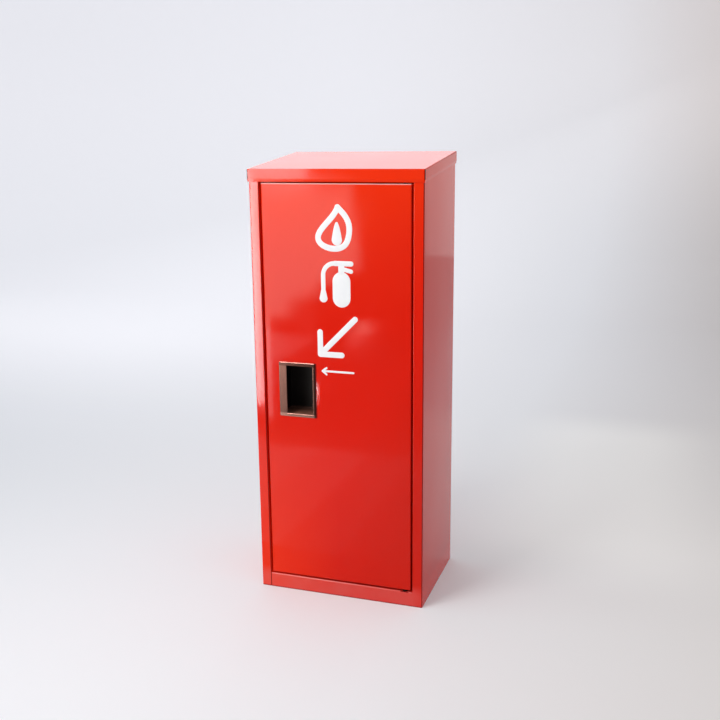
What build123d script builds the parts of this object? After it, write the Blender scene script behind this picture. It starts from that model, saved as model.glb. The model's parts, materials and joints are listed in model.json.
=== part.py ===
from build123d import *
import os
from math import atan, cos, sin

os.makedirs("parts", exist_ok=True)

# Fire extinguisher cabinet, folded from thin steel sheet, in millimetres.
# The origin is the middle of the footprint, on the floor.
# X runs to the right as one faces the door, Y runs from the door to the back, Z is up.

# Cabinet over its sheets
body_width = 250.0
body_depth = 176.0
front_height = 620.0
roof_rise = 20.0

# Sheet and its folds
sheet = 0.8
bend_inside = 0.8
bend_middle = bend_inside + sheet / 2
bend_outside = bend_inside + sheet

# Front frame
stile_width = 15.0
left_stile_fall = 0.4
rail_height = 22.0
return_depth = 16.0
stop_width = 12.0
seam_gap = 0.3
header_lap = 1.5
header_setback = 0.4
back_flange = 15.0
rail_rear_drop = 14.0

# Roof cap
roof_overhang = 1.5
lip_height = 17.5
drip_height = 4.0
drip_kick = 0.5
corner_slit = 0.5
cap_seat = 0.05

# Door
door_gap_left = 2.6
door_gap_right = 2.5
door_gap_top = 1.5
door_gap_bottom = 2.5
door_return = 12.0
door_hem = 9.0
hem_relief = 14.0

# Hidden pivots
pivot_inset = 9.0
pivot_depth = 5.0
pin_radius = 2.5
pin_running = 0.06
pin_seat = 0.02
pin_reach = 8.0
pin_head_radius = 4.0
pin_head_height = 1.6
sheet_pin_hole = 3.0
pivot_plate_length = 22.0
pivot_plate_thickness = 2.0
bracket_length = 24.0
bracket_width = 11.0
bracket_thickness = 2.0
plate_corner = 1.5
washer_radius = 4.5
washer_play = 0.3
pin_tip_chamfer = 0.8
notch_length = 12.0
notch_depth = 1.2

# Recessed pull
pull_left = 19.9
pull_width = 55.0
pull_height = 80.0
pull_bottom = 271.0
pull_proud = 1.5
pull_corner = 1.5
pull_edge = 1.0
pull_mouth_edge = 0.7
finger_plate = 12.0
pull_rim_right = 3.7
pull_rim_top = 5.3
pull_rim_bottom = 4.6
pocket_depth = 37.0
pocket_setback = 2.5
pocket_corner = 2.0
cutout_clearance = 0.5
clamp_width = 7.0
clamp_thickness = 1.0

# Magnet catch, its strike and the door bumpers
strike_above_pull = 24.0
catch_length = 46.0
catch_width = 14.0
catch_depth = 15.0
catch_from_stop = 1.2
catch_play = 0.3
pole_thickness = 1.5
pole_proud = 1.0
pole_length = 36.0
magnet_thickness = 5.0
catch_corner = 1.5
catch_bracket_height = 34.0
catch_bracket_leg = 20.0
catch_bracket_thickness = 1.2
strike_length = 50.0
strike_thickness = 1.2
bumper_radius = 4.0
bumper_play = 0.3
bumper_from_end = 40.0
bumper_edge = 0.6

# Holes for fixing to a wall or a floor
wall_hole_radius = 4.5
wall_hole_spacing = 160.0
wall_hole_above_floor = 140.0
wall_hole_below_roof = 80.0
floor_hole_radius = 5.0
floor_hole_spacing_x = 170.0
floor_hole_spacing_y = 100.0

# Places worked out from the sizes above
half_width = body_width / 2
half_depth = body_depth / 2
front = -half_depth
back = half_depth
half_sheet = sheet / 2
opening_left = -half_width + stile_width
opening_right = half_width - stile_width
return_back = front + return_depth
roof_slope = roof_rise / (body_depth + 2 * roof_overhang)
roof_angle = atan(roof_slope)
roof_middle = front_height + roof_rise / 2
lip_bottom = front_height - lip_height
cut_height = front_height + 2 * roof_rise
roof_normal = (0, -sin(roof_angle), cos(roof_angle))
roof_fall = (0, cos(roof_angle), sin(roof_angle))
roof_underside = Plane(
    origin=(0, 0, roof_middle - sheet / cos(roof_angle) - cap_seat),
    x_dir=(1, 0, 0),
    z_dir=roof_normal,
)
door_left = opening_left + door_gap_left
door_right = opening_right - door_gap_right
door_bottom = rail_height + door_gap_bottom
door_top = lip_bottom - door_gap_top
door_back = front + door_return
header_bottom = lip_bottom + header_lap
pivot_x = door_right - pivot_inset
pivot_y = front + pivot_depth
catch_height = pull_bottom + pull_height + strike_above_pull + strike_length / 2


def folded_strip(points, plane, length):
    """A strip of sheet folded along the middle line that the points give."""
    with BuildPart() as strip:
        with BuildSketch(plane):
            with BuildLine():
                FilletPolyline(*points, radius=bend_middle)
            trace(line_width=sheet)
        extrude(amount=length)
    return strip.part


def write(builder, name):
    """Name a finished piece and write its file."""
    builder.part.label = name
    export_step(builder.part, f"parts/{name}.step")


# Left side: wall, front stile, return and door stop folded from one sheet
# The stile is bent a little past square, so its outer edge lies further back.
wall_middle = half_width - half_sheet
stile_middle = front + half_sheet
return_middle = half_width - stile_width + half_sheet
stop_middle = return_back - half_sheet
with BuildPart() as left_side:
    add(
        folded_strip(
            [
                (-wall_middle, back - sheet),
                (-wall_middle, stile_middle + left_stile_fall),
                (-return_middle, stile_middle),
                (-return_middle, stop_middle),
                (opening_left + stop_width, stop_middle),
            ],
            Plane.XY,
            cut_height,
        )
    )
    # the stop is cut away where the bottom rail fits in
    with BuildSketch(Plane.XY):
        with Locations((opening_left, return_back)):
            Rectangle(stop_width, 2 * bend_outside, align=(Align.MIN, Align.CENTER))
    extrude(amount=rail_height, mode=Mode.SUBTRACT)
    split(bisect_by=roof_underside, keep=Keep.BOTTOM)
write(left_side, "left_side")

# Right side: the same folds without the stop, which would foul the swinging door edge
with BuildPart() as right_side:
    add(
        folded_strip(
            [
                (wall_middle, back - sheet),
                (wall_middle, stile_middle),
                (return_middle, stile_middle),
                (return_middle, return_back),
            ],
            Plane.XY,
            cut_height,
        )
    )
    # beside the bottom rail the stile is flat, so the welded joint is closed
    with BuildSketch(Plane.XY):
        with Locations((opening_right, front)):
            Rectangle(stile_width / 2, return_depth, align=(Align.MIN, Align.MIN))
    extrude(amount=rail_height, mode=Mode.SUBTRACT)
    with BuildSketch(Plane.XY):
        with Locations((opening_right, front)):
            Rectangle(stile_width / 2, sheet, align=(Align.MIN, Align.MIN))
    extrude(amount=rail_height)
    split(bisect_by=roof_underside, keep=Keep.BOTTOM)
write(right_side, "right_side")

# Back panel with a flange forward along each side wall, pierced for wall bolts
flange_middle = half_width - sheet - half_sheet
wall_hole_rows = front_height - wall_hole_below_roof - wall_hole_above_floor
with BuildPart() as back_panel:
    add(
        folded_strip(
            [
                (-flange_middle, back - back_flange),
                (-flange_middle, back - half_sheet),
                (flange_middle, back - half_sheet),
                (flange_middle, back - back_flange),
            ],
            Plane.XY,
            cut_height,
        )
    )
    # the flanges stop above the floor pan
    with BuildSketch(Plane.XY):
        with Locations((0, back - sheet)):
            Rectangle(body_width, back_flange, align=(Align.CENTER, Align.MAX))
    extrude(amount=rail_height, mode=Mode.SUBTRACT)
    with BuildSketch(Plane.XZ.offset(-back)):
        with Locations((0, wall_hole_above_floor + wall_hole_rows / 2)):
            with GridLocations(wall_hole_spacing, wall_hole_rows, 2, 2):
                Circle(wall_hole_radius)
    extrude(amount=sheet, mode=Mode.SUBTRACT)
    split(bisect_by=roof_underside, keep=Keep.BOTTOM)
write(back_panel, "back_panel")

# Floor pan: a raised floor with flanges down to the ground, pierced for anchor bolts
pan_width = body_width - 2 * sheet
pan_depth = back - sheet - return_back
pan_middle = (back - sheet + return_back) / 2


def pan_outline(width, height, radius):
    """Cross-section of the pan between two opposite flanges, filled to a face."""
    with BuildSketch() as section:
        Rectangle(width, height, align=(Align.CENTER, Align.MIN))
        fillet(section.vertices().sort_by(Axis.Y)[-2:], radius)
    return section.sketch


def pan_block(inset, radius):
    """The solid inside the outer or the inner skin of the floor pan."""
    width = pan_width - 2 * inset
    depth = pan_depth - 2 * inset
    height = rail_height - inset
    with BuildPart() as block:
        with BuildSketch(Plane.XZ.offset(-pan_middle)):
            add(pan_outline(width, height, radius))
        extrude(amount=depth / 2, both=True)
        with BuildSketch(Plane(origin=(0, pan_middle, 0), x_dir=(0, 1, 0), z_dir=(1, 0, 0))):
            add(pan_outline(depth, height, radius))
        extrude(amount=width / 2, both=True, mode=Mode.INTERSECT)
    return block.part


with BuildPart() as floor_pan:
    add(pan_block(0, bend_outside))
    add(pan_block(sheet, bend_inside), mode=Mode.SUBTRACT)
    with BuildSketch(Plane.XY.offset(rail_height)):
        with Locations((0, pan_middle)):
            with GridLocations(floor_hole_spacing_x, floor_hole_spacing_y, 2, 2):
                Circle(floor_hole_radius)
    extrude(amount=-2 * sheet, mode=Mode.SUBTRACT)
write(floor_pan, "floor_pan")

# Bottom rail: an upturned channel between the stiles, notched at the lower pivot
rail_left = opening_left + seam_gap
with BuildPart() as bottom_rail:
    add(
        folded_strip(
            [
                (front + half_sheet, 0),
                (front + half_sheet, rail_height - half_sheet),
                (return_back - half_sheet, rail_height - half_sheet),
                (return_back - half_sheet, rail_height - rail_rear_drop),
            ],
            Plane.YZ.offset(rail_left),
            opening_right - rail_left,
        )
    )
    with BuildSketch(Plane.XZ.offset(-front)):
        with Locations((pivot_x, rail_height)):
            Rectangle(notch_length, notch_depth, align=(Align.CENTER, Align.MAX))
    extrude(amount=-bend_outside, mode=Mode.SUBTRACT)
    with Locations((pivot_x, pivot_y, rail_height)):
        Hole(sheet_pin_hole, depth=2 * sheet)
write(bottom_rail, "bottom_rail")

# Top rail: an angle behind the front lip of the roof, which carries the upper pivot
header_back = return_back - sheet - bend_inside - header_setback
header_top = front_height + roof_slope * roof_overhang - sheet / cos(roof_angle) - cap_seat
with BuildPart() as top_rail:
    add(
        folded_strip(
            [
                (front + half_sheet, header_top),
                (front + half_sheet, header_bottom + half_sheet),
                (header_back, header_bottom + half_sheet),
            ],
            Plane.YZ.offset(opening_left),
            opening_right - opening_left,
        )
    )
    with Locations((pivot_x, pivot_y, header_bottom + sheet)):
        Hole(sheet_pin_hole, depth=2 * sheet)
write(top_rail, "top_rail")

# Roof cap: sloping to the front, with lips on four sides whose lower edge is kicked in
def roof_height(y):
    """Height of the roof's outer face at a place between the front and the back."""
    return roof_middle + roof_slope * y


def lip_outline(edge, height_at, drop, radius):
    """Cross-section of the cap from one lip to the opposite one, filled to a face."""
    with BuildSketch() as section:
        with BuildLine() as outline:
            Polyline(
                (-edge + drip_kick, height_at(-edge + drip_kick) - lip_height),
                (-edge, height_at(-edge) - lip_height + drip_height),
                (-edge, height_at(-edge) - drop),
                (edge, height_at(edge) - drop),
                (edge, height_at(edge) - lip_height + drip_height),
                (edge - drip_kick, height_at(edge - drip_kick) - lip_height),
                close=True,
            )
        make_face()
        fillet(outline.vertices().sort_by(Axis.Y)[-2:], radius)
    return section.sketch


def cap_block(inset, radius):
    """The solid inside the outer or the inner skin of the roof cap."""
    side_edge = half_width + roof_overhang - inset
    end_edge = half_depth + roof_overhang - inset
    drop = inset / cos(roof_angle)
    with BuildPart() as block:
        with BuildSketch(Plane.YZ.offset(-side_edge)):
            add(lip_outline(end_edge, roof_height, drop, radius))
        extrude(amount=2 * side_edge)
        with BuildSketch(Plane.XZ):
            add(lip_outline(side_edge, lambda x: roof_middle, drop, radius))
        extrude(amount=body_depth, dir=roof_fall, both=True, mode=Mode.INTERSECT)
    return block.part


slit_x = half_width + roof_overhang - sheet - corner_slit / 2
with BuildPart() as roof_cap:
    add(cap_block(0, bend_outside))
    add(cap_block(sheet, bend_inside), mode=Mode.SUBTRACT)
    # at each corner the end lip stops short of the side lip, which leaves an open slit
    for end in (-half_depth - roof_overhang, half_depth + roof_overhang):
        lip_end = roof_height(end) - lip_height
        with BuildSketch(Plane.XZ.offset(-end)):
            for side in (-1, 1):
                with BuildLine():
                    Polyline(
                        (side * slit_x, roof_height(end) - bend_outside),
                        (side * slit_x, lip_end + drip_height),
                        (side * (slit_x - 2 * drip_kick), lip_end - drip_height),
                    )
                trace(line_width=corner_slit)
        extrude(amount=bend_outside, both=True, mode=Mode.SUBTRACT)
write(roof_cap, "roof_cap")

# Door: a pan with returns all round and a hem along its left and right edges
door_width = door_right - door_left
door_height = door_top - door_bottom
door_middle = (door_left + door_right) / 2
pull_x = door_left + pull_left
opening_x = pull_x + finger_plate
opening_width = pull_width - finger_plate - pull_rim_right
opening_z = pull_bottom + pull_rim_bottom
opening_height = pull_height - pull_rim_bottom - pull_rim_top
pocket_x = pull_x + pocket_setback
pocket_width = pull_width - 2 * pocket_setback
pocket_z = pull_bottom + pocket_setback
pocket_height = pull_height - 2 * pocket_setback


def door_block(inset, radius):
    """The solid inside the outer or the inner skin of the door."""
    with BuildPart() as block:
        with BuildSketch(Plane.XY.offset(door_bottom + inset)):
            with Locations((door_middle, front + inset)):
                Rectangle(
                    door_width - 2 * inset,
                    door_return - 2 * inset,
                    align=(Align.CENTER, Align.MIN),
                )
        extrude(amount=door_height - 2 * inset)
        upright = block.edges().filter_by(Axis.Z)
        front_ends = block.edges().filter_by(Axis.X).group_by(Axis.Y)[0]
        fillet(upright + front_ends, radius)
    return block.part


with BuildPart() as door_panel:
    add(door_block(0, bend_outside))
    add(door_block(sheet, bend_inside), mode=Mode.SUBTRACT)
    # open the back between the hems, and the hems at both ends
    with BuildSketch(Plane.XZ.offset(-(door_back - bend_outside))):
        with Locations((door_middle, door_bottom)):
            Rectangle(
                door_width - 2 * door_hem, door_height, align=(Align.CENTER, Align.MIN)
            )
        for end, side in ((door_bottom, Align.MIN), (door_top, Align.MAX)):
            with Locations((door_middle, end)):
                Rectangle(
                    door_width - 2 * bend_outside, hem_relief, align=(Align.CENTER, side)
                )
    extrude(amount=-2 * bend_outside, mode=Mode.SUBTRACT)
    # cut-out for the pull
    with BuildSketch(Plane.XZ.offset(-front)):
        with Locations((pocket_x - cutout_clearance, pocket_z - cutout_clearance)):
            Rectangle(
                pocket_width + 2 * cutout_clearance,
                pocket_height + 2 * cutout_clearance,
                align=(Align.MIN, Align.MIN),
            )
    extrude(amount=-2 * sheet, mode=Mode.SUBTRACT)
    # pivot holes in the top and bottom returns
    with Locations((pivot_x, pivot_y, door_top), (pivot_x, pivot_y, door_bottom + sheet)):
        Hole(sheet_pin_hole, depth=2 * sheet)
write(door_panel, "door_panel")


def pivot_plate(height):
    """Door plate behind a return, with the running hole for a pivot pin."""
    with BuildPart() as plate:
        with BuildSketch(Plane.XY.offset(height)):
            with Locations((plate_middle_x, plate_middle_y)):
                RectangleRounded(pivot_plate_length, door_return - 2 * bend_outside, plate_corner)
            with Locations((pivot_x, pivot_y)):
                Circle(pin_radius + pin_running, mode=Mode.SUBTRACT)
        extrude(amount=pivot_plate_thickness)
    return plate.part


def pivot_bracket(height):
    """Cabinet plate that holds a pivot pin."""
    with BuildPart() as bracket:
        with BuildSketch(Plane.XY.offset(height)):
            with Locations((bracket_middle_x, bracket_middle_y)):
                RectangleRounded(bracket_length, bracket_width, plate_corner)
            with Locations((pivot_x, pivot_y)):
                Circle(pin_radius + pin_seat, mode=Mode.SUBTRACT)
        extrude(amount=bracket_thickness)
    return bracket.part


def pivot_pin(head_face, tip):
    """Headed pin: its head lies on the bracket and its shank runs to the tip."""
    with BuildPart() as pin:
        away = 1 if head_face > tip else -1
        with BuildSketch(Plane(origin=(pivot_x, pivot_y, 0), x_dir=(1, 0, 0), z_dir=(0, -1, 0))):
            with BuildLine():
                Polyline(
                    (0, tip),
                    (pin_radius - pin_tip_chamfer, tip),
                    (pin_radius, tip + away * pin_tip_chamfer),
                    (pin_radius, head_face),
                    (pin_head_radius, head_face),
                    (pin_head_radius, head_face + away * pin_head_height),
                    (0, head_face + away * pin_head_height),
                    close=True,
                )
            make_face()
        revolve(axis=Axis((pivot_x, pivot_y, 0), (0, 0, 1)))
    return pin.part


# Pivot plates on the door and brackets on the cabinet
plate_middle_x = door_right - bend_outside - pivot_plate_length / 2
plate_middle_y = front + door_return / 2
bracket_middle_x = opening_right - bend_inside - bracket_length / 2
bracket_middle_y = front + bend_outside + bracket_width / 2
with BuildPart() as upper_pivot_plate:
    add(pivot_plate(door_top - sheet - pivot_plate_thickness))
write(upper_pivot_plate, "upper_pivot_plate")

with BuildPart() as lower_pivot_plate:
    add(pivot_plate(door_bottom + sheet))
write(lower_pivot_plate, "lower_pivot_plate")

with BuildPart() as upper_pivot_bracket:
    add(pivot_bracket(header_bottom + sheet))
write(upper_pivot_bracket, "upper_pivot_bracket")

with BuildPart() as lower_pivot_bracket:
    add(pivot_bracket(rail_height - sheet - bracket_thickness))
write(lower_pivot_bracket, "lower_pivot_bracket")

# Pivot pins, held in the brackets and running in the door plates
upper_pin_head = header_bottom + sheet + bracket_thickness
lower_pin_head = rail_height - sheet - bracket_thickness
with BuildPart() as upper_pivot_pin:
    add(pivot_pin(upper_pin_head, door_top - pin_reach))
write(upper_pivot_pin, "upper_pivot_pin")

with BuildPart() as lower_pivot_pin:
    add(pivot_pin(lower_pin_head, door_bottom + pin_reach))
write(lower_pivot_pin, "lower_pivot_pin")

# Washer that carries the door on the bottom rail
with BuildPart() as lower_pivot_washer:
    with BuildSketch(Plane.XY.offset(rail_height)):
        with Locations((pivot_x, pivot_y)):
            Circle(washer_radius)
            Circle(pin_radius + pin_running, mode=Mode.SUBTRACT)
    extrude(amount=door_gap_bottom - washer_play)
write(lower_pivot_washer, "lower_pivot_washer")

# Pull frame: a stainless bezel with a broad finger plate at its left
with BuildPart() as pull_frame:
    with BuildSketch(Plane.XZ.offset(-front)):
        with Locations((pull_x, pull_bottom)):
            Rectangle(pull_width, pull_height, align=(Align.MIN, Align.MIN))
    extrude(amount=pull_proud)
    fillet(pull_frame.edges().filter_by(Axis.Y), pull_corner)
    fillet(pull_frame.faces().sort_by(Axis.Y)[0].edges(), pull_edge)
    with BuildSketch(Plane.XZ.offset(-front)):
        with Locations((opening_x, opening_z)):
            Rectangle(opening_width, opening_height, align=(Align.MIN, Align.MIN))
    extrude(amount=pull_proud, mode=Mode.SUBTRACT)
    fillet(pull_frame.faces().sort_by(Axis.Y)[0].inner_wires()[0].edges(), pull_mouth_edge)
write(pull_frame, "pull_frame")


def pull_block(inset, front_y, depth):
    """The solid inside the outer or the inner skin of the pocket."""
    with BuildPart() as block:
        with BuildSketch(Plane.XZ.offset(-front_y)):
            with Locations((pocket_x + pocket_width / 2, pocket_z + pocket_height / 2)):
                RectangleRounded(
                    pocket_width - 2 * inset, pocket_height - 2 * inset, pocket_corner - inset
                )
        extrude(amount=-depth)
        chamfer(block.faces().sort_by(Axis.Y)[-1].edges(), pocket_corner - inset)
    return block.part


# Pull pocket: a deep drawn box behind the frame, wider than the frame's opening
with BuildPart() as pull_pocket:
    add(pull_block(0, front, pocket_depth))
    add(pull_block(sheet, front, pocket_depth - sheet), mode=Mode.SUBTRACT)
write(pull_pocket, "pull_pocket")

# Clamp frame behind the door sheet, which holds the pull in its cut-out
with BuildPart() as pull_clamp:
    with BuildSketch(Plane.XZ.offset(-(front + sheet))):
        with Locations((pocket_x + pocket_width / 2, pocket_z + pocket_height / 2)):
            RectangleRounded(
                pocket_width + 2 * clamp_width, pocket_height + 2 * clamp_width, pocket_corner
            )
            RectangleRounded(pocket_width, pocket_height, pocket_corner, mode=Mode.SUBTRACT)
    extrude(amount=-clamp_thickness)
write(pull_clamp, "pull_clamp")

# Strike plate on the door's hem, which the magnet holds
stop_end = opening_left + stop_width
strike_front = door_back
strike_left = door_left + bend_outside
catch_left = stop_end + catch_from_stop
strike_right = catch_left + catch_width
pole_front = strike_front + strike_thickness + catch_play
catch_front = pole_front + pole_proud
with BuildPart() as strike_plate:
    with BuildSketch(Plane.XZ.offset(-strike_front)):
        with Locations((strike_left, catch_height)):
            Rectangle(
                strike_right - strike_left, strike_length, align=(Align.MIN, Align.CENTER)
            )
    extrude(amount=-strike_thickness)
    fillet(strike_plate.edges().filter_by(Axis.Y), plate_corner)
write(strike_plate, "strike_plate")

# Magnet catch: its case, two pole plates and the magnet between them
catch_middle = catch_left + catch_width / 2
pole_offset = (magnet_thickness + pole_thickness) / 2
pole_pocket_depth = catch_depth / 2
with BuildPart() as catch_case:
    with BuildSketch(Plane.XZ.offset(-catch_front)):
        with Locations((catch_middle, catch_height)):
            RectangleRounded(catch_width, catch_length, catch_corner)
    extrude(amount=-catch_depth)
    with BuildSketch(Plane.XZ.offset(-catch_front)):
        with Locations((catch_middle, catch_height)):
            Rectangle(magnet_thickness + 2 * pole_thickness, pole_length)
    extrude(amount=-pole_pocket_depth, mode=Mode.SUBTRACT)
write(catch_case, "catch_case")

with BuildPart() as catch_poles:
    with BuildSketch(Plane.XZ.offset(-pole_front)):
        with Locations(
            (catch_middle - pole_offset, catch_height), (catch_middle + pole_offset, catch_height)
        ):
            Rectangle(pole_thickness, pole_length)
    extrude(amount=-(pole_proud + pole_pocket_depth))
write(catch_poles, "catch_poles")

with BuildPart() as catch_magnet:
    with BuildSketch(Plane.XZ.offset(-catch_front)):
        with Locations((catch_middle, catch_height)):
            Rectangle(magnet_thickness, pole_length)
    extrude(amount=-pole_pocket_depth)
write(catch_magnet, "catch_magnet")

# Catch bracket: an angle from the side wall to the back of the catch
bracket_face = catch_front + catch_depth
bracket_half = catch_bracket_thickness / 2
bracket_wall = -half_width + sheet + bracket_half
with BuildPart() as catch_bracket:
    with BuildSketch(Plane.XY.offset(catch_height - catch_bracket_height / 2)):
        with BuildLine():
            FilletPolyline(
                (bracket_wall, bracket_face + catch_bracket_leg),
                (bracket_wall, bracket_face + bracket_half),
                (catch_left + catch_width, bracket_face + bracket_half),
                radius=bend_inside + bracket_half,
            )
        trace(line_width=catch_bracket_thickness)
    extrude(amount=catch_bracket_height)
write(catch_bracket, "catch_bracket")

# Rubber bumpers on the stop, above and below the catch
stop_face = return_back - sheet
bumper_thickness = stop_face - door_back - bumper_play
bumper_x = (door_left + bend_outside + stop_end) / 2
for name, height in (
    ("lower_bumper", door_bottom + bumper_from_end),
    ("upper_bumper", door_top - bumper_from_end),
):
    with BuildPart() as bumper:
        with BuildSketch(Plane.XZ.offset(-stop_face)):
            with Locations((bumper_x, height)):
                Circle(bumper_radius)
        extrude(amount=bumper_thickness)
        chamfer(bumper.faces().sort_by(Axis.Y)[0].edges(), bumper_edge)
    write(bumper, name)
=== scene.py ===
import json
from math import pi, radians

import bpy
import numpy as np
from mathutils import Matrix, Vector


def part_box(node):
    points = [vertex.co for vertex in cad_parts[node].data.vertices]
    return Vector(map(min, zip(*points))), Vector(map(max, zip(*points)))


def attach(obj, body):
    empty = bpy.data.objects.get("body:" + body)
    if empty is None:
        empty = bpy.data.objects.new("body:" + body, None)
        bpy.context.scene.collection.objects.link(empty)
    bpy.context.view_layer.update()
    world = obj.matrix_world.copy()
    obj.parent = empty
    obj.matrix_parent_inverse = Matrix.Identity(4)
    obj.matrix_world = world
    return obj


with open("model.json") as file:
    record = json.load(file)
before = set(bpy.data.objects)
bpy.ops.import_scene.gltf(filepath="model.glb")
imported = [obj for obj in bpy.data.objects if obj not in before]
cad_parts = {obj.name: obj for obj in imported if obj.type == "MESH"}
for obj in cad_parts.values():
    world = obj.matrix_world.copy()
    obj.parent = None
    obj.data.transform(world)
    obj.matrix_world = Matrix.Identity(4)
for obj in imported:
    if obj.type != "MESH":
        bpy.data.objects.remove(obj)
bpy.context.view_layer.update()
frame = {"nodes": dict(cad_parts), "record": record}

MM = 0.001

# Places read from the frame
door_low, door_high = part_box("door_panel")
pull_low, pull_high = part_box("pull_frame")
pocket_low, pocket_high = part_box("pull_pocket")
strike_low, strike_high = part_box("strike_plate")
clamp_low, clamp_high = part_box("pull_clamp")
catch_low, catch_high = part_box("catch_case")
rail_low, rail_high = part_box("bottom_rail")
side_low, side_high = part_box("right_side")
cap_low, cap_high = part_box("roof_cap")
door_face = door_low.y

# Camera, with its angles in degrees
CAMERA_PLACE = Vector((0.4424, -1.2953, 0.6590))
CAMERA_PITCH = -13.17
CAMERA_HEADING = 18.67
CAMERA_ROLL = -0.56
LENS_MM = 47.35
SENSOR_MM = 36.0
NEAREST, FARTHEST = 0.01, 60


def make_camera():
    """A camera at the photograph's place, turned by heading, then pitch, then roll."""
    data = bpy.data.cameras.new("camera")
    data.lens = LENS_MM
    data.sensor_width = SENSOR_MM
    data.clip_start = NEAREST
    data.clip_end = FARTHEST
    camera = bpy.data.objects.new("camera", data)
    bpy.context.scene.collection.objects.link(camera)
    turn = Matrix.Rotation(radians(CAMERA_HEADING), 4, "Z")
    tilt = Matrix.Rotation(radians(90 + CAMERA_PITCH), 4, "X")
    roll = Matrix.Rotation(radians(CAMERA_ROLL), 4, "Z")
    camera.matrix_world = Matrix.Translation(CAMERA_PLACE) @ turn @ tilt @ roll
    bpy.context.scene.camera = camera


# Shader maths written as expressions
class Shade:
    """A socket's value while a material is written: its operators add the Math nodes."""

    def __init__(self, recipe, socket):
        self.recipe = recipe
        self.socket = socket

    def math(self, operation, *values):
        node = self.recipe.node("ShaderNodeMath", {"operation": operation}, dict(enumerate(values)))
        return self.recipe.value(node, "Value")

    def __add__(self, other):
        return self.math("ADD", self, other)

    def __radd__(self, other):
        return self.math("ADD", other, self)

    def __sub__(self, other):
        return self.math("SUBTRACT", self, other)

    def __rsub__(self, other):
        return self.math("SUBTRACT", other, self)

    def __mul__(self, other):
        return self.math("MULTIPLY", self, other)

    def __rmul__(self, other):
        return self.math("MULTIPLY", other, self)

    def __pow__(self, other):
        return self.math("POWER", self, other)

    def size(self):
        return self.math("ABSOLUTE", self)

    def most(self, other):
        return self.math("MAXIMUM", self, other)


class Recipe:
    """A material or world while it is written: nodes, their settings and their links."""

    def __init__(self, owner):
        owner.use_nodes = True
        self.owner = owner
        self.tree = owner.node_tree
        self.tree.nodes.clear()

    def node(self, kind, settings=None, inputs=None):
        """Add a node of a type, make its settings, then give its sockets values or links."""
        node = self.tree.nodes.new(kind)
        for key, value in (settings or {}).items():
            setattr(node, key, value)
        for key, value in (inputs or {}).items():
            if isinstance(value, Shade):
                self.tree.links.new(value.socket, node.inputs[key])
            else:
                node.inputs[key].default_value = value
        return node

    def value(self, node, output):
        return Shade(self, node.outputs[output])

    def place(self):
        """The point on the object, in metres."""
        return self.value(self.node("ShaderNodeTexCoord"), "Object")

    def facing(self):
        """The surface's own direction, before any bump."""
        return self.value(self.node("ShaderNodeTexCoord"), "Normal")

    def axes(self, vector):
        split = self.node("ShaderNodeSeparateXYZ", inputs={"Vector": vector})
        return tuple(self.value(split, axis) for axis in "XYZ")

    def stretched(self, place, scale):
        """The point with each axis multiplied, for a pattern that runs one way."""
        inputs = {"Vector": place, "Scale": scale}
        return self.value(self.node("ShaderNodeMapping", {"vector_type": "POINT"}, inputs), "Vector")

    def noise(self, place, scale, detail, roughness=0.5):
        """Cloudy noise from nought to one; the scale is in clouds to the metre."""
        inputs = {"Vector": place, "Scale": scale, "Detail": detail, "Roughness": roughness}
        return self.value(self.node("ShaderNodeTexNoise", {"noise_dimensions": "3D"}, inputs), "Fac")

    def cells(self, place, scale):
        """The distance to the nearest of scattered points."""
        inputs = {"Vector": place, "Scale": scale, "Randomness": 1.0}
        return self.value(self.node("ShaderNodeTexVoronoi", {"feature": "F1"}, inputs), "Distance")

    def blend(self, factor, low, high):
        """A colour between two colours."""
        node = self.node("ShaderNodeMix", {"data_type": "RGBA"}, {"Factor": factor, 6: low, 7: high})
        return self.value(node, 2)

    def span(self, value, low, high, to_low=0.0, to_high=1.0, curve="LINEAR"):
        """Map a range of a value to another range, held at both ends."""
        node = self.node(
            "ShaderNodeMapRange",
            {"clamp": True, "interpolation_type": curve},
            {"Value": value, "From Min": low, "From Max": high, "To Min": to_low, "To Max": to_high},
        )
        return self.value(node, "Result")

    def rise(self, value, low, high):
        """From nought at the first value to one at the second, with soft ends."""
        return self.span(value, low, high, curve="SMOOTHSTEP")

    def fall(self, value, low, high):
        """From one at the first value to nought at the second, with soft ends."""
        return self.span(value, low, high, 1.0, 0.0, "SMOOTHSTEP")

    def hump(self, value, low, high, soft):
        """One between two values and nought outside them, with soft flanks."""
        return self.rise(value, low - soft, low + soft) * self.fall(value, high - soft, high + soft)

    def bump(self, height, distance, under=None):
        """The direction of a surface that is raised by the height times the distance."""
        inputs = {"Height": height, "Distance": distance, "Strength": 1.0}
        if under is not None:
            inputs["Normal"] = under
        return self.value(self.node("ShaderNodeBump", {}, inputs), "Normal")

    def seen(self):
        """One for rays from the camera, a mirror or glass; nought for light that falls on things."""
        rays = self.node("ShaderNodeLightPath")
        camera = self.value(rays, "Is Camera Ray")
        mirror = self.value(rays, "Is Glossy Ray")
        glass = self.value(rays, "Is Transmission Ray")
        return camera.most(mirror).most(glass)

    def surface(self, **inputs):
        """The finish itself, from the names of its sockets with underscores for spaces."""
        named = {key.replace("_", " "): value for key, value in inputs.items()}
        shader = self.node("ShaderNodeBsdfPrincipled", {}, named)
        output = self.node("ShaderNodeOutputMaterial")
        self.tree.links.new(shader.outputs["BSDF"], output.inputs["Surface"])
        return self.owner


def recipe(name):
    return Recipe(bpy.data.materials.new(name))


def grey(value):
    return (value, value, value, 1)


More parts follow.
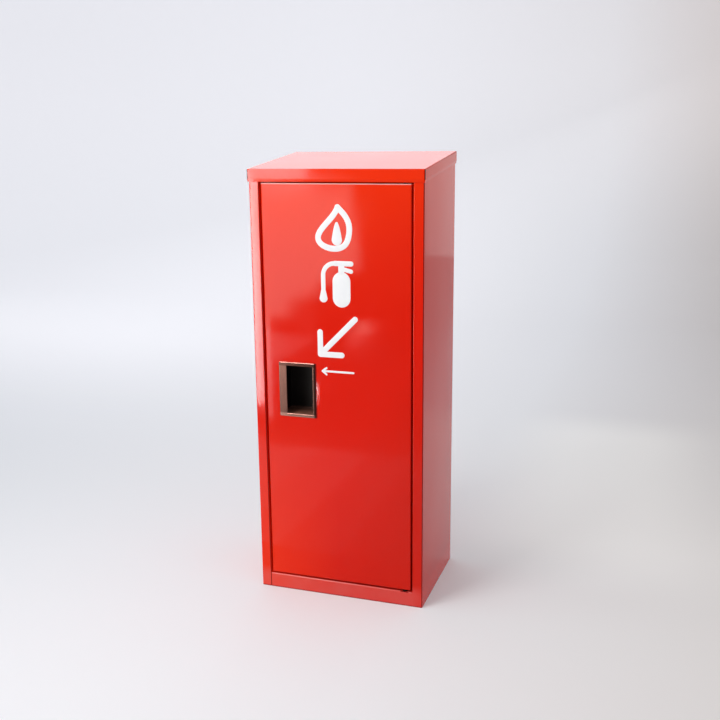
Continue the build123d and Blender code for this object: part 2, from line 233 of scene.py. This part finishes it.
# Enamel
# The first and third reds are lit and shaded copies of the red, for painted light and painted shade
RED_LIT = (0.90, 0.031, 0.0030, 1)
RED = (0.76, 0.0095, 0.0006, 1)
RED_SHADED = (0.64, 0.0088, 0.0006, 1)
DUST = (0.62, 0.36, 0.33, 1)
# A pale pink for painted highlights along bends and edges
PAINTED_HIGHLIGHT_PINK = (0.95, 0.45, 0.42, 1)
# A dark red for painted shade
SHADE = (0.10, 0.003, 0.002, 1)
PAINT_IOR = 1.27
PAINT_ROUGHNESS = 0.065
SMUDGE_ROUGHNESS = 0.05
ROLLER_PEEL = 330
PEEL_HEIGHT = 0.012 * MM
SHEET_WAVE = 7
CABINET_WAVE_HEIGHT = 0.9 * MM
DOOR_WAVE_HEIGHT = 1.0 * MM
RED_WANDER = 80 * MM

# Strengths of the dust, the painted highlight and the painted shade on the cabinet, and the heights of
# its bends
TOP_DUST = 0.06
FOOT_HAZE_LEFT, FOOT_HAZE_RIGHT = 0.16, 0.09
RAIL_LIGHT_LEFT, RAIL_LIGHT_RIGHT = 0.40, 0.16
BEND_SHADE = 0.75
FLOOR_SHADE = 0.6
SIDE_BOW = -100
STILE_ROLL = -0.22

# The same on the door
TOP_BEND_LIGHT = 0.8
TOP_EDGE_LIGHT = 0.5
RIM_SHADE = 0.85
RIM_WANDER = 1.4 * MM
PINCH = 0.80
EDGE_CURL = -0.07
SWELL = 1.7
SWELL_DULLING = 0.13


def foot_zone(r, x, z):
    """The foot's front: it starts at once at the rail's top edge and slowly on the stiles beside it."""
    stile = r.span(x.size(), door_high.x + 2.4 * MM, door_high.x + 2.8 * MM)
    on_rail = r.span(z, rail_high.z, rail_high.z - 1 * MM)
    on_stile = r.rise(z, rail_high.z + 14 * MM, rail_high.z - 6 * MM)
    return (1 - stile) * on_rail + stile * on_stile


def paint_parts(r, here):
    """What all the painted sheets share: a red with painted light and shade, lighter towards the top
    and low at the left, roughness, and orange peel over the sheet's slow waves."""
    x, _, z = r.axes(here)
    height = z + RED_WANDER * (r.noise(here, 9, 2) - 0.5)
    # Painted light and shade: the red is lighter towards the top, at the foot's front and low at the
    # left
    lit = r.span(height - 1.6 * x, -50 * MM, 200 * MM)
    foot_lit = 0.8 * foot_zone(r, x, z)
    colour = r.blend(lit + foot_lit - lit * foot_lit, RED_SHADED, RED)
    low_left = r.span(x, 0.0, -110 * MM) * r.span(z, 300 * MM, 50 * MM)
    colour = r.blend(0.7 * low_left, colour, RED_LIT)
    colour = r.blend(r.span(height, 330 * MM, 620 * MM) ** 2, colour, RED_LIT)
    peel = r.noise(here, ROLLER_PEEL, 2)
    wave = r.noise(here, SHEET_WAVE, 1)
    smudge = r.span(r.noise(here, 26, 5, 0.6), 0.45, 0.75)
    roughness = PAINT_ROUGHNESS + SMUDGE_ROUGHNESS * smudge
    return colour, roughness, peel, wave


def painted_bend_highlight(r, colour, up, strength):
    """A painted highlight: a line of light painted along a bend between a front and a top."""
    return r.blend(strength * r.hump(up, 0.25, 0.92, 0.08), colour, PAINTED_HIGHLIGHT_PINK)


def red_paint():
    """Baked gloss enamel on the cabinet's sheets, with dust on faces that look up, haze on the foot and
    a painted highlight along the bottom rail's top bend. Painted shade lies in the slits at the roof
    cap's corners, along the right bend and at the floor. The sides bow as the square of the depth, and
    the left stile rolls off as the square of the width."""
    r = recipe("red_paint")
    here = r.place()
    colour, roughness, peel, wave = paint_parts(r, here)
    x, y, z = r.axes(here)
    right, back, up = r.axes(r.facing())
    flat = r.span(up, 0.6, 1.0)
    settled = TOP_DUST * flat * r.span(r.noise(here, 6, 2), 0.3, 0.7, 0.6, 1.0)
    foot = foot_zone(r, x, z) * r.span(back, -0.8, -0.95)
    haze = foot * r.span(x, side_low.x, side_high.x, FOOT_HAZE_LEFT, FOOT_HAZE_RIGHT)
    haze = haze * r.span(r.noise(here, 38, 4), 0.2, 0.8, 0.7, 1.2)
    colour = r.blend(settled + haze, colour, DUST)
    # Painted highlight along the bottom rail's top bend, stronger at the left
    rail_light = r.span(x, -20 * MM, 80 * MM, RAIL_LIGHT_LEFT, RAIL_LIGHT_RIGHT)
    colour = painted_bend_highlight(r, colour, up, rail_light * r.span(z, 60 * MM, 40 * MM))

    # Painted shade: a dark red in the slits at the roof cap's corners, along the right bend and at the
    # floor
    cap_end = r.span(x.size(), cap_high.x - 1.3 * MM, cap_high.x - 0.9 * MM)
    cap_front = r.span(y, cap_low.y + 1.6 * MM, cap_low.y + 1.0 * MM)
    slit = cap_end * cap_front * r.span(z, cap_low.z + 3 * MM, cap_low.z + 4 * MM)
    below_cap = r.span(cap_low.z - z, 0.0, 1 * MM)
    bend = r.hump(right, 0.3, 0.93, 0.06) * r.span(back, -0.2, -0.35) * below_cap
    at_floor = r.span(z, 1.8 * MM, 0.9 * MM) * r.span(back.size(), 0.5, 0.7)
    shade = slit.most(BEND_SHADE * bend).most(FLOOR_SHADE * at_floor)
    colour = r.blend(shade, colour, SHADE)

    side = r.span(right.size(), 0.9, 0.97)
    bow = side * SIDE_BOW * (y - side_low.y) ** 2
    roll = r.span(back, -0.9, -0.97) * STILE_ROLL * r.span(x, door_low.x, -side_high.x) ** 2
    normal = r.bump(wave, CABINET_WAVE_HEIGHT)
    normal = r.bump(peel * (1 - 0.9 * flat), PEEL_HEIGHT, normal)
    normal = r.bump(bow + roll, MM, normal)
    roughness = 0.03 * flat + roughness * (1 - 0.3 * flat)
    return r.surface(Base_Color=colour, Roughness=roughness, Normal=normal, IOR=PAINT_IOR)


def door_paint():
    """The same enamel on the door, with a painted highlight along its top bend and top edge. Its sheet
    is drawn in beside the pull's rim, where painted shade darkens it and the height rises as one minus
    a square. It curls as a square at its left edge, and it swells softly at the right of the signs,
    where its gloss is duller."""
    r = recipe("door_paint")
    here = r.place()
    colour, roughness, peel, wave = paint_parts(r, here)
    x, _, z = r.axes(here)
    _, _, up = r.axes(r.facing())
    # Painted highlight along the door's top bend and its top edge
    top_bend = r.span(z, door_high.z - 4 * MM, door_high.z - 3 * MM)
    colour = painted_bend_highlight(r, colour, up, TOP_BEND_LIGHT * top_bend)
    top_edge = r.span(z, door_high.z - 2.0 * MM, door_high.z - 1.2 * MM)
    colour = r.blend(TOP_EDGE_LIGHT * top_edge, colour, PAINTED_HIGHLIGHT_PINK)

    wander = RIM_WANDER * (r.noise(r.stretched(here, (0, 0, 1)), 90, 2) - 0.5)
    away = x - pull_high.x + wander
    beside = r.hump(z, pull_low.z + 22 * MM, pull_low.z + 52 * MM, 20 * MM)
    pinch = PINCH * (1 - r.span(away, 1.4 * MM, 10 * MM, 1.0, 0.0) ** 2)
    drawn = beside * pinch * r.fall(away, 9 * MM, 80 * MM)
    curl = EDGE_CURL * r.span(x, door_low.x, door_low.x + 10 * MM, 1.0, 0.0) ** 2
    across = r.rise(x, 5 * MM, 55 * MM) * r.fall(x, 57 * MM, 105 * MM)
    upright = r.rise(z, 340 * MM, 390 * MM) * r.fall(z, 392 * MM, 425 * MM)
    swollen = across * upright
    roughness = roughness + SWELL_DULLING * swollen ** 0.5
    # Painted shade on the door along the pull's right edge
    rim = r.hump(away, -2 * MM, 2.0 * MM, 0.4 * MM) * r.hump(z, pull_low.z, pull_high.z, 0.5 * MM)
    colour = r.blend(RIM_SHADE * rim, colour, SHADE)
    normal = r.bump(wave, DOOR_WAVE_HEIGHT)
    normal = r.bump(drawn + SWELL * swollen + curl, MM, normal)
    normal = r.bump(peel, PEEL_HEIGHT, normal)
    return r.surface(Base_Color=colour, Roughness=roughness, Normal=normal, IOR=PAINT_IOR)


# Other finishes
STAINLESS_LOW = (0.105, 0.050, 0.038, 1)
STAINLESS_HIGH = (0.160, 0.078, 0.060, 1)
# A painted sheen, painted shade and painted highlight on the pull's steel
STAINLESS_PAINTED_SHEEN = (0.30, 0.155, 0.12, 1)
STAINLESS_PAINTED_SHADE = (0.036, 0.013, 0.010, 1)
STAINLESS_PAINTED_HIGHLIGHT = (0.60, 0.29, 0.24, 1)
PAINTED_SHADE_STRENGTH = 0.75
POCKET_BLACK = (0.008, 0.004, 0.003, 1)
# Brown for painted light on the pocket's floor
POCKET_LIT_BROWN = (0.30, 0.12, 0.075, 1)
INK_LOW = (0.90, 0.90, 0.92, 1)
INK_HIGH = (0.94, 0.94, 0.95, 1)


def satin_steel():
    """Warm stainless sheet, brushed upright, with a painted sheen along its bottom bar, painted
    highlights on its edges that look up, and painted shade at its top and right."""
    r = recipe("satin_steel")
    here = r.place()
    x, _, z = r.axes(here)
    _, _, up = r.axes(r.facing())
    brushed = r.noise(r.stretched(here, (1, 1, 0.03)), 4200, 3)
    cloud = r.span(r.noise(r.stretched(here, (1, 1, 0.12)), 260, 3), 0.3, 0.7)
    tone = r.blend(0.5 * brushed + 0.5 * cloud, STAINLESS_LOW, STAINLESS_HIGH)
    # Painted sheen: the bottom bar is lighter
    painted_sheen = r.span(z, pull_low.z + 5.6 * MM, pull_low.z + 4.6 * MM)
    tone = r.blend(painted_sheen, tone, STAINLESS_PAINTED_SHEEN)
    # Painted shade at the frame's top and right
    at_right = r.span(x, pull_high.x - 2.6 * MM, pull_high.x - 1.4 * MM)
    at_top = r.span(z, pull_high.z - 6 * MM, pull_high.z - 5 * MM)
    tone = r.blend(PAINTED_SHADE_STRENGTH * at_right.most(0.8 * at_top), tone, STAINLESS_PAINTED_SHADE)
    # Painted highlight on edges that look up
    painted_light = r.hump(up, 0.2, 0.96, 0.1) * r.span(r.noise(here, 130, 2), 0.3, 0.6, 0.6, 1.0)
    tone = r.blend(painted_light * (1 - 0.5 * painted_sheen), tone, STAINLESS_PAINTED_HIGHLIGHT)
    normal = r.bump(brushed, 0.008 * MM)
    roughness = 0.12 + 0.06 * brushed
    return r.surface(Base_Color=tone, Metallic=1.0, Roughness=roughness, Normal=normal)


def pocket_black():
    """Black inside of the pull, with painted light on its floor: brown towards the front, where light
    falls.
    """
    r = recipe("pocket_black")
    here = r.place()
    _, y, z = r.axes(here)
    low = r.span(z, pocket_low.z + 4 * MM, pocket_low.z + 1.5 * MM)
    near = r.span(y, pocket_high.y, pocket_low.y + 6 * MM)
    # Painted light: brown on the floor, most towards the front
    painted_light = low * (0.25 + 0.75 * near) * r.span(r.noise(here, 180, 4), 0.2, 0.7, 0.6, 1.0)
    tone = r.blend(painted_light, POCKET_BLACK, POCKET_LIT_BROWN)
    grain = r.noise(here, 2400, 2)
    normal = r.bump(grain, 0.02 * MM)
    return r.surface(Base_Color=tone, Roughness=0.55 + 0.1 * grain, Normal=normal, IOR=1.3)


def plated_steel(name, low, high):
    """Plated steel with its faint spangle, between two greys."""
    r = recipe(name)
    here = r.place()
    spangle = r.cells(here, 420)
    tone = r.blend(spangle, grey(low), grey(high))
    roughness = 0.3 + 0.2 * spangle
    normal = r.bump(r.noise(here, 1500, 2), 0.01 * MM)
    return r.surface(Base_Color=tone, Metallic=1.0, Roughness=roughness, Normal=normal)


def moulded_plastic():
    """Black moulded plastic with a fine spark texture."""
    r = recipe("dark_plastic")
    here = r.place()
    grain = r.noise(here, 2400, 3)
    tone = r.blend(r.noise(here, 90, 2), grey(0.012), grey(0.03))
    normal = r.bump(grain, 0.03 * MM)
    return r.surface(Base_Color=tone, Roughness=0.45 + 0.15 * grain, Normal=normal)


def soft_rubber():
    """Black rubber, dusty where hands touch it."""
    r = recipe("bumper_rubber")
    here = r.place()
    dust = r.span(r.noise(here, 240, 4), 0.5, 0.75)
    tone = r.blend(dust, grey(0.025), grey(0.085))
    normal = r.bump(r.noise(here, 1800, 3), 0.04 * MM)
    return r.surface(Base_Color=tone, Roughness=0.75 + 0.1 * dust, Normal=normal)


def magnet_grey():
    """Sintered magnet: dark, grainy and dull."""
    r = recipe("magnet")
    here = r.place()
    grain = r.noise(here, 3000, 4)
    tone = r.blend(grain, grey(0.03), grey(0.09))
    normal = r.bump(grain, 0.03 * MM)
    return r.surface(Base_Color=tone, Metallic=0.3, Roughness=0.6, Normal=normal)


def white_ink():
    """Screen-printed white enamel with a slightly uneven film."""
    r = recipe("white_ink")
    here = r.place()
    film = r.noise(here, 700, 3)
    tone = r.blend(r.span(r.noise(here, 60, 3), 0.3, 0.7), INK_LOW, INK_HIGH)
    normal = r.bump(film, 0.01 * MM)
    return r.surface(Base_Color=tone, Roughness=0.28 + 0.1 * film, Normal=normal, IOR=PAINT_IOR)


PAPER_COOL = (0.80, 0.80, 0.815, 1)
# A warmer, darker paper for painted shade at the right
PAPER_WARM_SHADE = (0.67, 0.615, 0.59, 1)
PAPER_FRONT = grey(0.42)
NEAR_GLOW_LEFT = (0.045, 0.06, 0.08, 1)
NEAR_GLOW_RIGHT = (0.13, 0.125, 0.11, 1)
BESIDE_GLOW = (0.27, 0.27, 0.25, 1)
FAR_GLOW_LEFT = (0.335, 0.335, 0.365, 1)
FAR_GLOW_RIGHT = (0.0, 0.0, 0.0, 1)
WALL_GLOW_LEFT = (0.36, 0.355, 0.385, 1)
WALL_GLOW_RIGHT = (0.215, 0.19, 0.185, 1)


def backdrop_paper():
    """Pale seamless paper, with painted shade in front of the cabinet and towards the right, where it
    is also warmer. It glows where it is seen, which is painted light: more at the left, in a patch at
    the cabinet's right and on the wall."""
    r = recipe("backdrop_paper")
    here = r.place()
    x, y, z = r.axes(here)
    warm_shade = 0.8 * r.span(x, 0.1, 0.6) + 0.1 * (r.noise(here, 1.2, 2) - 0.5)
    tone = r.blend(warm_shade, PAPER_COOL, PAPER_WARM_SHADE)
    tone = r.blend(r.rise(y, -0.55, -0.95), tone, PAPER_FRONT)
    side = r.rise(x, -1.4, 1.3)
    near_floor = r.blend(side, NEAR_GLOW_LEFT, NEAR_GLOW_RIGHT)
    far_floor = r.blend(side, FAR_GLOW_LEFT, FAR_GLOW_RIGHT)
    floor = r.blend(r.rise(y, 0.0, 1.6), near_floor, far_floor)
    beside = r.hump(x, 0.16, 0.5, 0.12) * r.hump(y, 0.12, 0.9, 0.12)
    floor = r.blend(0.6 * beside, floor, BESIDE_GLOW)
    wall = r.blend(side, WALL_GLOW_LEFT, WALL_GLOW_RIGHT)
    glow = r.blend(r.rise(z, 0.0, 1.0), floor, wall)
    shown = r.blend(r.seen(), grey(0.0), glow)
    return r.surface(Base_Color=tone, Roughness=0.9, Emission_Color=shown, Emission_Strength=1.0)


MATERIALS = {
    "red_paint": red_paint(),
    "door_paint": door_paint(),
    "satin_steel": satin_steel(),
    "plain_steel": plated_steel("plain_steel", 0.40, 0.60),
    "dark_plastic": moulded_plastic(),
    "magnet": magnet_grey(),
    "bumper_rubber": soft_rubber(),
}
INK = white_ink()
PIN_STEEL = plated_steel("pin_steel", 0.006, 0.014)
OWN_FINISH = {
    "pull_pocket": pocket_black(),
    "upper_pivot_pin": PIN_STEEL,
    "lower_pivot_pin": PIN_STEEL,
    "lower_pivot_bracket": PIN_STEEL,
    "upper_pivot_bracket": PIN_STEEL,
    "lower_pivot_washer": PIN_STEEL,
}


def dress_frame():
    """Give every node of the frame its own finish, or else that of its slot."""
    slots = {part["node"]: part["material_slot"] for part in frame["record"]["subparts"]}
    for name, piece in frame["nodes"].items():
        piece.data.materials.clear()
        piece.data.materials.append(OWN_FINISH.get(name) or MATERIALS[slots[name]])


# Shapes
def grid_faces(rows, columns, rings):
    """Quads between neighbouring points of a grid, whose rows can be closed into rings."""
    index = np.arange(rows * columns).reshape(rows, columns)
    if rings:
        index = np.concatenate([index, index[:, :1]], axis=1)
    quads = np.stack([index[:-1, :-1], index[:-1, 1:], index[1:, 1:], index[1:, :-1]], axis=-1)
    return quads.reshape(-1, 4).tolist()


def tube_faces(rows, columns):
    """The faces of a row of rings: quads between them, and a flat face over each end."""
    last = (rows - 1) * columns
    ends = [list(range(columns - 1, -1, -1)), list(range(last, last + columns))]
    return grid_faces(rows, columns, True) + ends


def add_mesh(name, points, faces, material):
    """A smooth mesh object at the origin from points in metres and faces."""
    mesh = bpy.data.meshes.new(name)
    mesh.from_pydata(np.asarray(points).reshape(-1, 3).tolist(), [], faces)
    mesh.polygons.foreach_set("use_smooth", np.full(len(mesh.polygons), True))
    mesh.materials.append(material)
    mesh.update()
    piece = bpy.data.objects.new(name, mesh)
    bpy.context.scene.collection.objects.link(piece)
    return piece


# Printed signs, drawn in millimetres
INK_FILM = 0.12 * MM
INK_STEP = 0.006 * MM
INK_ROOT = 0.02 * MM
INK_RIM = np.array([[-1, 0], [-0.97, 0.75], [-0.92, 1], [0.92, 1], [0.97, 0.75], [1, 0]])
END_STEPS = 9
END_TURN = 0.98 * pi / 2
LINE_STEPS = 6
ARC_STEPS = 24
FLAME_STEPS = 48
FLAME_HALF_WIDE = 22
FLAME_HALF_HIGH = 28
FLAME_LEAN = 4.5
BOLD = 4.1
THIN = 1.45
SIGN_X = 1.8
FLAME_Z = 541.5
EXTINGUISHER_Z = 465.0
ARROW_Z = 391.0
PULL_ARROW_Z = 341.3


def stroke(path, half_width, film):
    """Points and faces of one raised stroke of ink on the door's face.

    The section has a flat top and a rolled rim. It is carried along the path, with its sides on the
    path's left and right. At both ends it goes on through nearly a quarter turn, as far as the half
    width times the sine of the angle, while it narrows as the cosine of that angle.
    """
    path = np.asarray(path, float)
    half = np.broadcast_to(np.asarray(half_width, float), len(path))
    along = np.gradient(path, axis=0)
    along /= np.linalg.norm(along, axis=1, keepdims=True)
    turn = np.linspace(0, END_TURN, END_STEPS)[1:]
    before = path[0] - along[0] * (half[0] * np.sin(turn[::-1]))[:, None]
    after = path[-1] + along[-1] * (half[-1] * np.sin(turn))[:, None]
    path = np.concatenate([before, path, after])
    half = np.concatenate([half[0] * np.cos(turn[::-1]), half, half[-1] * np.cos(turn)])
    ends = np.ones((len(turn), 1))
    along = np.concatenate([ends * along[0], along, ends * along[-1]])
    left = np.stack([along[:, 1], -along[:, 0]], axis=1)
    spread = path[:, None, :] + left[:, None, :] * (half[:, None] * INK_RIM[None, :, 0])[..., None]
    height = np.broadcast_to(INK_RIM[:, 1], spread.shape[:2])
    depth = door_face + INK_ROOT - (film + INK_ROOT) * height
    points = np.stack([spread[..., 0] * MM, depth, spread[..., 1] * MM], axis=-1)
    return points.reshape(-1, 3), tube_faces(*points.shape[:2])


def sign(name, centre, strokes):
    """One printed sign: its strokes about a centre, each a hair higher than the last."""
    points, faces, count = [], [], 0
    for number, (path, half_width) in enumerate(strokes):
        placed = np.asarray(path, float) + centre
        more_points, more_faces = stroke(placed, half_width, INK_FILM + number * INK_STEP)
        points.append(more_points)
        faces += [[corner + count for corner in face] for face in more_faces]
        count += len(more_points)
    piece = add_mesh(name, np.concatenate(points), faces, INK)
    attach(piece, "door")


def straight(start, end):
    """Points along a straight line."""
    return np.linspace(start, end, LINE_STEPS)


def arc(centre, radius, start, end):
    """Points along an arc: the centre plus the radius times the angle's cosine and sine, in degrees."""
    turn = np.radians(np.linspace(start, end, ARC_STEPS))
    return np.stack([centre[0] + radius * np.cos(turn), centre[1] + radius * np.sin(turn)], axis=1)


def flame(start, end):
    """Part of the outline of a drop with its point at the top, between two angles in degrees: across
    it is sine times a power of the half angle's sine, up it is cosine, and it leans by a sine."""
    turn = np.radians(np.linspace(start, end, FLAME_STEPS))
    across = FLAME_HALF_WIDE * np.sin(turn) * np.sin(turn / 2) ** 1.3 / 0.73
    lean = FLAME_LEAN * np.sin(0.8 * pi * np.cos(turn))
    return np.stack([across + lean, FLAME_HALF_HIGH * np.cos(turn)], axis=1)


def make_signs():
    """Plain signs on the door: a flame, an extinguisher, an arrow to the pull and a small arrow. The
    flame's inner drop is as wide as the square root of the distance from its tip."""
    inner = np.linspace(-16, 6, 12)
    inner_half = 7.5 * np.sqrt(np.clip((8 - inner) / 24, 0.02, 1))
    inner_drop = (np.stack([np.full_like(inner, 1.2), inner], axis=1), inner_half)
    outline = [(flame(2, 184), BOLD), (flame(358, 176), BOLD)]
    sign("flame_sign", (SIGN_X, FLAME_Z), outline + [inner_drop])

    hose_path = np.concatenate([arc((-3, 12), 16.5, 90, 180), straight((-19.5, 11), (-19.5, -6))])
    cylinder = (straight((7, -19), (7, 4)), 13.0)
    neck = (straight((7, 18), (7, 24)), 4.4)
    lever = (straight((-2, 28.5), (21, 28.5)), 3.6)
    handle = (straight((9, 21), (21, 18)), 3.0)
    hose = (hose_path, 3.2)
    horn = (straight((-19.5, -9), (-19.5, -20)), np.linspace(3.4, 6.0, LINE_STEPS))
    extinguisher = [cylinder, neck, lever, handle, hose, horn]
    sign("extinguisher_sign", (SIGN_X, EXTINGUISHER_Z), extinguisher)

    shaft = (straight((26, 26), (-24, -24)), BOLD)
    upper_barb = (straight((-25.5, 6), (-25.5, -25.5)), BOLD)
    lower_barb = (straight((6, -25.5), (-25.5, -25.5)), BOLD)
    sign("arrow_sign", (SIGN_X, ARROW_Z), [shaft, upper_barb, lower_barb])

    small_shaft = (straight((23, 0), (-22, 0)), THIN)
    small_barbs = [(straight((-17, up), (-23, 0)), THIN) for up in (4.6, -4.6)]
    sign("pull_sign", (SIGN_X, PULL_ARROW_Z), [small_shaft] + small_barbs)


# Small fasteners: the radius and height of each head, and how far in from an edge it sits
HEAD_STEPS = 20
HEAD_PROFILE = np.array([[1.0, 0.0], [1.0, 0.25], [0.93, 0.5], [0.75, 0.75], [0.5, 0.92], [0.25, 0.98]])
STRIKE_RIVET = (2.2 * MM, 0.9 * MM)
CLAMP_SCREW = (2.4 * MM, 1.4 * MM)
CATCH_SCREW = (1.7 * MM, 0.4 * MM)
STRIKE_INSET = 6 * MM
CLAMP_INSET = 3.5 * MM
CATCH_INSET = 2.5 * MM
HEM_WIDTH = 9 * MM


def head(name, body, place, outward, size):
    """A low domed head: its profile falls about as the square of the distance from the axis, and is
    turned once round that axis."""
    radius, height = size
    outward = np.asarray(outward, float)
    side = np.cross(outward, (0, 0, 1.0))
    other = np.cross(outward, side)
    turn = np.linspace(0, 2 * pi, HEAD_STEPS, endpoint=False)
    ring = np.cos(turn)[:, None] * side + np.sin(turn)[:, None] * other
    spread = radius * HEAD_PROFILE[:, None, :1] * ring[None]
    lift = height * HEAD_PROFILE[:, None, 1:] * outward
    points = np.asarray(place) + spread + lift
    faces = tube_faces(len(HEAD_PROFILE), HEAD_STEPS)
    piece = add_mesh(name, points, faces, MATERIALS["plain_steel"])
    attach(piece, body)


def make_fasteners():
    """Rivets that hold the strike plate, and screws in the pull's clamp and the catch."""
    inward, outward = (0, 1, 0), (0, -1, 0)
    strike_x = (strike_low.x + door_low.x + HEM_WIDTH) / 2
    for number, z in enumerate((strike_low.z + STRIKE_INSET, strike_high.z - STRIKE_INSET), 1):
        head(f"strike_rivet_{number}", "door", (strike_x, strike_high.y, z), inward, STRIKE_RIVET)
    corners = [
        (x, clamp_high.y, z)
        for x in (clamp_low.x + CLAMP_INSET, clamp_high.x - CLAMP_INSET)
        for z in (clamp_low.z + CLAMP_INSET, clamp_high.z - CLAMP_INSET)
    ]
    for number, place in enumerate(corners, 1):
        head(f"clamp_screw_{number}", "door", place, inward, CLAMP_SCREW)
    catch_x = (catch_low.x + catch_high.x) / 2
    for number, z in enumerate((catch_low.z + CATCH_INSET, catch_high.z - CATCH_INSET), 1):
        head(f"catch_screw_{number}", "cabinet", (catch_x, catch_low.y, z), outward, CATCH_SCREW)


# Stage and light, in metres
FLOOR_REACH = 6.0
WALL_START = 2.2
WALL_CURVE = 1.3
WALL_TOP = 4.0
CURVE_STEPS = 24


def make_stage():
    """A pale floor that curves up into a wall: straight, a quarter circle, then straight up."""
    turn = np.linspace(0, pi / 2, CURVE_STEPS)
    far = WALL_START + WALL_CURVE
    y = np.concatenate([[-FLOOR_REACH], WALL_START + WALL_CURVE * np.sin(turn), [far]])
    z = np.concatenate([[0.0], WALL_CURVE * (1 - np.cos(turn)), [WALL_TOP]])
    x = np.array([-FLOOR_REACH, FLOOR_REACH])
    points = np.stack(np.broadcast_arrays(x, y[:, None], z[:, None]), axis=-1)
    faces = grid_faces(len(y), len(x), False)
    paper = add_mesh("backdrop", points, faces, backdrop_paper())


SKY = (0.93, 0.96, 1.0, 1)
SKY_LIGHT = 0.62
SKY_SEEN = 0.25
WHITE = (1.0, 1.0, 1.0)
PINK_WHITE = (1.0, 0.98, 1.0)
WARM_WHITE = (1.0, 0.97, 0.86)
MIDDLE = (0, -0.08, 0.35)

# Each lamp: name, place, aim, width, height, radiance, colour, whether it is a card
LAMPS = [
    ("board_left", (-0.5724, -0.8515, 0.32), (-0.1395, -0.119, 0.32), 0.10, 0.56, 17, PINK_WHITE, True),
    ("board_mid", (-0.5853, -0.8439, 0.32), (-0.1524, -0.1114, 0.32), 0.07, 0.56, 11, PINK_WHITE, True),
    ("board_low", (-0.4932, -0.8912, 0.11), (-0.0603, -0.1587, 0.11), 0.056, 0.22, 6, PINK_WHITE, True),
    ("card_left", (-0.93, -1.86, 0.61), (-0.93, 0, 0.61), 0.38, 0.19, 16, PINK_WHITE, True),
    ("tall_light_foot", (-0.95, -1.6, 0.003), (-0.95, -1.6, 1), 0.50, 0.50, 2.2, WHITE, True),
    ("upper_left", (-0.40, -0.70, 1.15), (0, -0.088, 0.5), 0.45, 0.45, 7.6, WHITE, False),
    ("behind", (-0.95, 2.5, 1.75), MIDDLE, 3.0, 1.8, 0.54, PINK_WHITE, False),
    ("behind_right", (0.54, 2.8, 0.6), (0.54, 0, 0.6), 0.68, 0.9, 0.28, WHITE, True),
    ("overhead", (-0.7, -0.5, 2.1), MIDDLE, 1.1, 0.9, 1.7, WHITE, False),
]

# The strips of the tall light: left, right and lower edge
TALL_LIGHT_Y = -1.86
TALL_LIGHT_TOP = 0.515
TALL_LIGHT_RADIANCE = 6.1
TALL_LIGHT = [
    (-1.30, -0.88, 0.0),
    (-0.88, -0.80, 0.06),
    (-0.80, -0.72, 0.12),
    (-0.72, -0.65, 0.17),
    (-0.65, -0.578, 0.225),
]

# The strips of its shine on the floor: left, right and radiance
SHINE_NEAR, SHINE_FAR = -0.22, -0.70
SHINE_Z = 2 * MM
SHINE = [
    (-0.75, -0.38, 1.55),
    (-0.38, -0.27, 1.25),
    (-0.27, -0.16, 0.80),
    (-0.16, -0.05, 0.30),
    (-0.05, 0.08, 0.08),
]


def soft_lamp(name, place, aim, width, height, radiance, colour, card):
    """A flat soft lamp, aimed at a place, whose radiance is 1 where it looks white. A card is one that
    only gloss shows."""
    data = bpy.data.lights.new(name, "AREA")
    data.shape = "RECTANGLE"
    data.size = width
    data.size_y = height
    data.energy = radiance * pi * width * height
    data.color = colour
    lamp = bpy.data.objects.new(name, data)
    lamp.location = place
    lamp.rotation_euler = (Vector(aim) - Vector(place)).to_track_quat("-Z", "Y").to_euler()
    lamp.visible_camera = False
    lamp.visible_diffuse = not card
    bpy.context.scene.collection.objects.link(lamp)


def make_light():
    """Soft lamps under a pale sky, a tall light at the left whose lower edge rises in steps, and its
    shine on the floor, which fades to the right."""
    world = bpy.data.worlds.new("studio")
    bpy.context.scene.world = world
    r = Recipe(world)
    strength = SKY_LIGHT - (SKY_LIGHT - SKY_SEEN) * r.seen()
    background = r.node("ShaderNodeBackground", {}, {"Color": SKY, "Strength": strength})
    output = r.node("ShaderNodeOutputWorld")
    r.tree.links.new(background.outputs["Background"], output.inputs["Surface"])
    for lamp in LAMPS:
        soft_lamp(*lamp)
    for number, (left, right, low) in enumerate(TALL_LIGHT, 1):
        middle = Vector(((left + right) / 2, TALL_LIGHT_Y, (low + TALL_LIGHT_TOP) / 2))
        aim = middle + Vector((0, 1, 0))
        size = (right - left, TALL_LIGHT_TOP - low)
        soft_lamp(f"tall_light_{number}", middle, aim, *size, TALL_LIGHT_RADIANCE, WARM_WHITE, False)
    for number, (left, right, radiance) in enumerate(SHINE, 1):
        middle = Vector(((left + right) / 2, (SHINE_NEAR + SHINE_FAR) / 2, SHINE_Z))
        aim = middle + Vector((0, 0, 1))
        size = (right - left, SHINE_NEAR - SHINE_FAR)
        soft_lamp(f"shine_{number}", middle, aim, *size, radiance, WHITE, True)


make_camera()
make_stage()
make_light()
dress_frame()
make_signs()
make_fasteners()

bpy.context.scene.view_settings.view_transform = "Standard"
